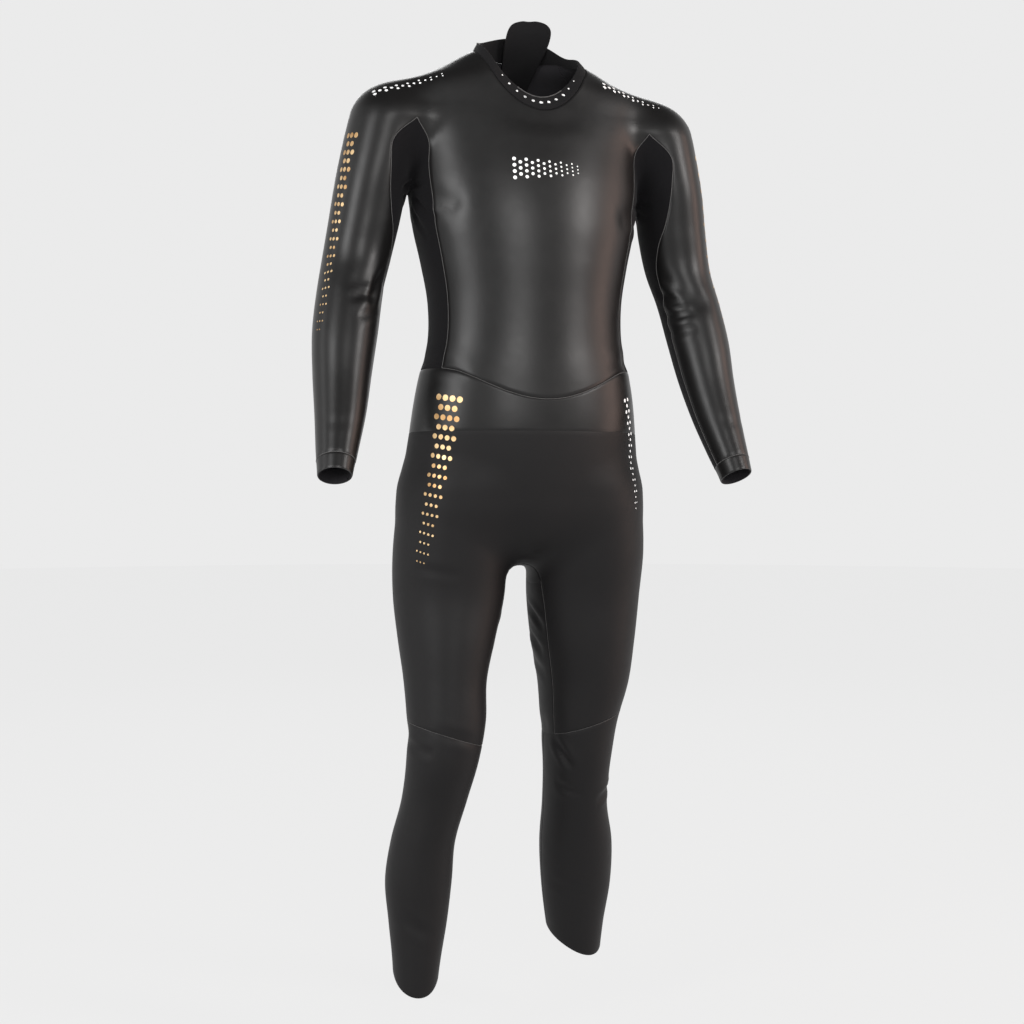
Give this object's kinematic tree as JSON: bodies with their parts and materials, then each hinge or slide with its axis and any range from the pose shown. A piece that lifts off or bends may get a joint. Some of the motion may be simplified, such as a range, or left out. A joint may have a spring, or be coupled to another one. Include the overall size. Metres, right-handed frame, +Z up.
{
  "type": "wetsuit",
  "caption": "Full-length close-fitting swimming wetsuit in its worn shape, with long sleeves, a low standing collar, underarm gussets, a waist band and a back zip with a tall neck flap.",
  "frame": {"origin": "middle of the neck's base, where the wearer's shoulders carry the suit", "axes": "+Z up, the front faces -Y, the figure's left is +X"},
  "size_m": [0.657, 0.2752, 1.45],
  "materials": {
    "smooth_skin": "glossy satin smooth-skin foam rubber",
    "leg_skin": "duller smooth-skin foam rubber",
    "jersey": "matt stretch jersey on foam rubber",
    "collar_cloth": "matt lined foam rubber",
    "zip_tape_cloth": "woven zip tape",
    "zip_plastic": "moulded plastic"
  },
  "bodies": {
    "suit": {"front_torso": "smooth_skin", "back_right": "smooth_skin", "back_left": "smooth_skin", "sleeve_right": "smooth_skin", "sleeve_left": "smooth_skin", "underarm_right": "jersey", "underarm_left": "jersey", "cuff_right": "smooth_skin", "cuff_left": "smooth_skin", "waist_band": "smooth_skin", "legs_front": "leg_skin", "seat_right": "leg_skin", "seat_left": "leg_skin", "inner_leg_right": "leg_skin", "inner_leg_left": "leg_skin", "crotch_gusset": "leg_skin", "lower_leg_right": "leg_skin", "lower_leg_left": "leg_skin", "collar": "collar_cloth", "collar_tab": "jersey", "neck_flap": "collar_cloth", "zip_tape_right": "zip_tape_cloth", "zip_tape_left": "zip_tape_cloth", "zip_coil": "zip_plastic", "zip_slider": "zip_plastic"},
    "pull": {"zip_pull": "zip_plastic"}
  },
  "joints": [
    {"name": "pull_swing", "type": "hinge", "parent": "suit", "child": "pull", "pos_m": [0.00038, 0.08935, -0.00304], "axis": [1, 0, 0], "range_deg": [0, 120]}
  ]
}
